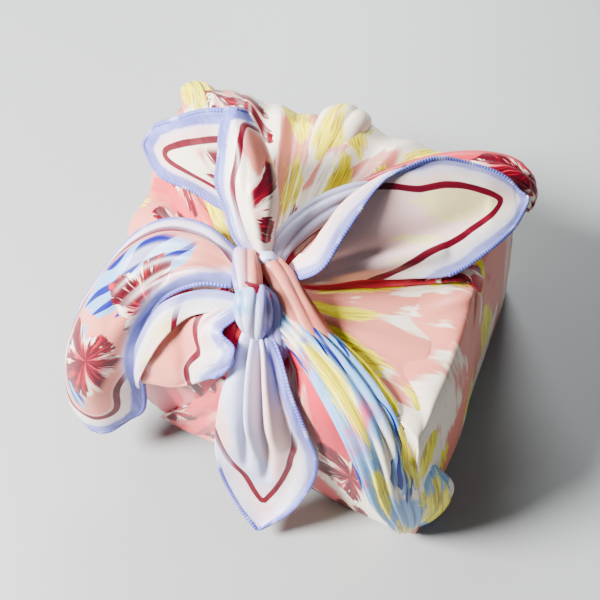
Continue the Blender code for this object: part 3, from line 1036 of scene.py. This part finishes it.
def cover_print(tree, x):
    """The print of the cover, which changes from wall to wall."""
    look = list(COVER_PRINTS[0])
    for side, after in zip(COVER_SIDES, COVER_PRINTS[1:]):
        share = x.step(side - 0.01, side + 0.01)
        for i, (old, new) in enumerate(zip(look, after)):
            if isinstance(new, tuple):
                look[i] = tree.mix(share, old, new)
            elif isinstance(old, Value) or new != old:
                look[i] = share * new + (1 - share) * old
    return Print(*look)


def ground_colour(tree, x, y, wash, brush, inner, look):
    """The ground with its soft patches, and deep pink where the print has it."""
    broad = tree.noise(tree.point(x * 26, y * 13 + 3), 1.0, 2.0, 0.5, 0.4)
    patchy = (broad + (brush - 0.5) * 0.20 + look.patches * 0.3).step(0.62, 0.68)
    colour = tree.mix(patchy, look.ground, look.patch)
    rosy = (wash + (brush - 0.5) * 0.25 + look.pinks * 0.3).step(0.66, 0.80)
    return tree.mix(rosy * inner * 0.85, colour, DEEP_PINK)


def with_motifs(tree, colour, x, y, inner, look):
    """The blue sprigs, the yellow leaves and the blooms, each over what was there before."""
    side = x * look.narrow
    leaf, _, bent, half = leaf_motif(tree, side, y, *BLUE_LEAVES, look.blues, look.spread)
    lines = abs((bent * 9).maths("FRACT") - 0.5)
    paint = tree.mix((lines - half * 0.9).step(0.06, 0.0), LIGHT_BLUE, NAVY)
    colour = tree.mix(leaf * inner, colour, paint)

    leaf, streak, *_ = leaf_motif(tree, side, y, *YELLOW_LEAVES, look.yellows, look.spread)
    paint = tree.mix(streak.step(0.38, 0.52), OCHRE, YELLOW)
    colour = tree.mix(leaf * inner, colour, paint)

    bloom, flame, rise, streak = bloom_motif(tree, side, y, *BLOOMS, look.blooms)
    paint = tree.mix(rise.step(0.3, 1.0), DEEP_PINK, CREAM)
    paint = tree.mix(flame, paint, tree.mix(streak.step(0.50, 0.75), BURGUNDY, CRIMSON))
    return tree.mix(bloom * inner, colour, paint)


def with_line(tree, colour, gap, wash, brush, wobble):
    """The pale band between border and motifs, and the burgundy line on it."""
    pale = (gap + (wash - 0.5) * 3).step(MOTIFS_FROM, -2)
    colour = tree.mix(pale * 0.8, colour, tree.mix(wash.step(0.4, 0.6), WHITE, PEARL))
    line = abs(gap + (wobble - 0.5)).step(LINE_WIDTH / 2 + 0.3, LINE_WIDTH / 2 - 0.2)
    return tree.mix(line, colour, tree.mix(brush.step(0.3, 0.7), BURGUNDY, WINE))


def with_border(tree, colour, hem, strength, wash, brush, wobble):
    """The lavender border: a pale wash, and a strong band beside the hem."""
    edge = hem + (brush - 0.5) * 3 + (wobble - 0.5) * 1.5
    tinted = edge.step(BORDER_WIDTH + 3, BORDER_WIDTH - 4) * (strength * 0.4 + 0.6)
    colour = tree.mix(tinted, colour, PALE_LAVENDER)
    width = strength * (BORDER_WIDTH - 2) + 2
    strong = (edge - width).step(1.0, -1.0)
    tint = tree.mix((brush * 0.7 + wash * 0.3).step(0.35, 0.65), LAVENDER, DEEP_LAVENDER)
    return tree.mix(strong * (strength * 0.5 + 0.5), colour, tint)


def satin(name, look):
    """The printed satin with its weave, soft gloss and painted shade in its folds. The cover's
    print is given as None.
    """
    tree = Tree("satin_" + name)
    flat = tree.node("ShaderNodeUVMap", {"uv_map": "cloth"})
    hem, gap, strength, dip = (
        tree.node("ShaderNodeAttribute", {"attribute_name": key}, out="all")["Fac"]
        for key in ("hem", "line", "wash", "dip")
    )
    x, y = tree.parts(flat)
    look = look or cover_print(tree, x)
    wash = tree.noise(flat, 16.0, 3.0, 0.55)
    brush = tree.noise(tree.point(x * 240, y * 34), 1.0, 3.0, 0.6)
    wobble = tree.noise(flat, 60.0, 1.0)
    inner = (gap + (wash - 0.5) * 12).step(MOTIFS_FROM, MOTIFS_FROM + 5)
    colour = ground_colour(tree, x, y, wash, brush, inner, look)
    colour = with_motifs(tree, colour, x, y, inner, look)
    colour = with_line(tree, colour, gap, wash, brush, wobble)
    colour = with_border(tree, colour, hem, strength, wash, brush, wobble)
    # Painted shade at the bottoms of the folds
    colour = tree.mix(dip * FOLD_SHADE, colour, SHADE)
    weave = tree.noise(tree.point(x * WEAVE[0], y * WEAVE[1]), 1.0, 1.0)
    ripple = tree.noise(flat, 70.0, 2.0, 0.5)
    raised = ripple * 0.5 + weave * 0.02
    bump = tree.node("ShaderNodeBump", {}, Strength=0.20, Distance=0.002, Height=raised)
    tree.feed(tree.shader.inputs["Base Color"], colour)
    tree.feed(tree.shader.inputs["Roughness"], wash * 0.08 + weave * 0.04 + 0.30)
    tree.feed(tree.shader.inputs["Normal"], bump)
    finish_satin(tree.shader)
    return tree.material


def finish_satin(shader):
    """The soft gloss that is the same all over the cloth."""
    shader.inputs["Specular IOR Level"].default_value = 0.40
    shader.inputs["Sheen Weight"].default_value = 0.03
    shader.inputs["Sheen Roughness"].default_value = 0.35


def hem_thread():
    """The rolled hem: lavender, with a darker blue between its close stitches."""
    tree = Tree("hem_thread")
    flat = tree.node("ShaderNodeUVMap", {"uv_map": "cloth"})
    run, around = tree.parts(flat)
    slant = (run / (STITCH_PITCH * MM) + around * 40) * (2 * math.pi)
    stitch = slant.maths("COSINE") * 0.5 + 0.5
    patchy = tree.noise(flat, 90.0, 2.0)
    colour = tree.mix(stitch.step(0.1, 0.9) * 0.3 + patchy * 0.7, DEEP_LAVENDER, LAVENDER)
    colour = tree.mix(patchy.step(0.55, 0.8) * 0.6, colour, PALE_LAVENDER)
    bump = tree.node("ShaderNodeBump", {}, Strength=0.35, Distance=0.0006, Height=stitch)
    tree.feed(tree.shader.inputs["Base Color"], colour)
    tree.feed(tree.shader.inputs["Roughness"], patchy * 0.1 + 0.45)
    tree.feed(tree.shader.inputs["Normal"], bump)
    finish_satin(tree.shader)
    return tree.material


# The floor: half its width in metres, its colour in sRGB and its roughness
FLOOR_SIZE = 12.0
FLOOR_COLOUR = (0.620, 0.630, 0.635)
FLOOR_ROUGHNESS = 0.5

# The lamps: place and width in metres, power in watts, and tint
LAMPS = {
    "window": ((-0.84, -0.55, 0.92), 0.45, 110.0, (1.0, 0.985, 0.965)),
    "back window": ((-0.35, 1.05, 0.80), 0.60, 22.0, (0.97, 0.985, 1.0)),
}
LAMP_AIM = (0.0, 0.0, 0.08)
ROOM_TINT = (0.86, 0.90, 0.95, 1.0)
ROOM_LIGHT = 0.16


def stage_floor():
    """The plain pale floor that the parcel stands on."""
    bm = bmesh.new()
    bmesh.ops.create_grid(bm, x_segments=1, y_segments=1, size=FLOOR_SIZE)
    mesh = bpy.data.meshes.new("floor")
    bm.to_mesh(mesh)
    bm.free()
    floor = bpy.data.objects.new("floor", mesh)
    bpy.context.scene.collection.objects.link(floor)
    material = bpy.data.materials.new("pale_floor")
    material.use_nodes = True
    shader = material.node_tree.nodes["Principled BSDF"]
    shader.inputs["Base Color"].default_value = linear(FLOOR_COLOUR)
    shader.inputs["Roughness"].default_value = FLOOR_ROUGHNESS
    mesh.materials.append(material)


def area_light(name, place, size, power, tint):
    """A round lamp that is turned to the parcel."""
    lamp = bpy.data.lights.new(name, "AREA")
    lamp.shape = "DISK"
    lamp.size = size
    lamp.energy = power
    lamp.color = tint
    light = bpy.data.objects.new(name, lamp)
    light.location = place
    light.rotation_euler = (Vector(place) - Vector(LAMP_AIM)).to_track_quat("Z", "Y").to_euler()
    bpy.context.scene.collection.objects.link(light)


def lights():
    """A pale room with a window beside the parcel and a weaker one behind it."""
    world = bpy.data.worlds.new("studio")
    world.use_nodes = True
    background = world.node_tree.nodes["Background"]
    background.inputs["Color"].default_value = ROOM_TINT
    background.inputs["Strength"].default_value = ROOM_LIGHT
    bpy.context.scene.world = world
    for name, finish in LAMPS.items():
        area_light(name, *finish)


# The camera: degrees round and above the parcel and of roll, then metres, and the focal length
# in mm on a 36 mm sensor
CAMERA_AZIMUTH = 24.0
CAMERA_ELEVATION = 56.0
CAMERA_ROLL = -4.0
CAMERA_DISTANCE = 0.512
CAMERA_AIM = (0.002, 0.0035, 0.050)
CAMERA_LENS = 54.0
SENSOR_WIDTH = 36.0


def camera():
    """The photograph's view."""
    azimuth, elevation = math.radians(CAMERA_AZIMUTH), math.radians(CAMERA_ELEVATION)
    flat = math.cos(elevation)
    back = Vector((math.sin(azimuth) * flat, -math.cos(azimuth) * flat, math.sin(elevation)))
    data = bpy.data.cameras.new("camera")
    data.lens = CAMERA_LENS
    data.sensor_width = SENSOR_WIDTH
    obj = bpy.data.objects.new("camera", data)
    place = Matrix.Translation(Vector(CAMERA_AIM) + back * CAMERA_DISTANCE)
    turned = back.to_track_quat("Z", "Y").to_matrix().to_4x4()
    rolled = Matrix.Rotation(math.radians(CAMERA_ROLL), 4, "Z")
    obj.matrix_world = place @ turned @ rolled
    bpy.context.scene.collection.objects.link(obj)
    bpy.context.scene.camera = obj


def main():
    camera()
    lights()
    stage_floor()
    prints = {name: satin(name, Print(*row)) for name, row in PRINTS.items()}
    prints["cover"] = satin("cover", None)
    thread = hem_thread()
    cover().data.materials.append(prints["cover"])
    for name, rows in ROLLS.items():
        finish = RollFinish(*ROLL_FINISH[name])
        roll(name, rows, finish).data.materials.append(prints[finish.print])
    for name, rows in SHEETS.items():
        finish = SheetFinish(*SHEET_FINISH[name])
        points, piece = sheet(name, rows, finish)
        piece.data.materials.append(prints[finish.print])
        thicken(piece, CLOTH_THICKNESS if name in HEMS else LAYER_THICKNESS)
        extra = []
        if name in HEMS and Hem(*HEMS[name]).stitched:
            extra.append(hem_roll(name + "_hem", points, Hem(*HEMS[name])))
            extra[0].data.materials.append(thread)
        width, length = finish.flat
        size = (width * MM, length * MM)


main()
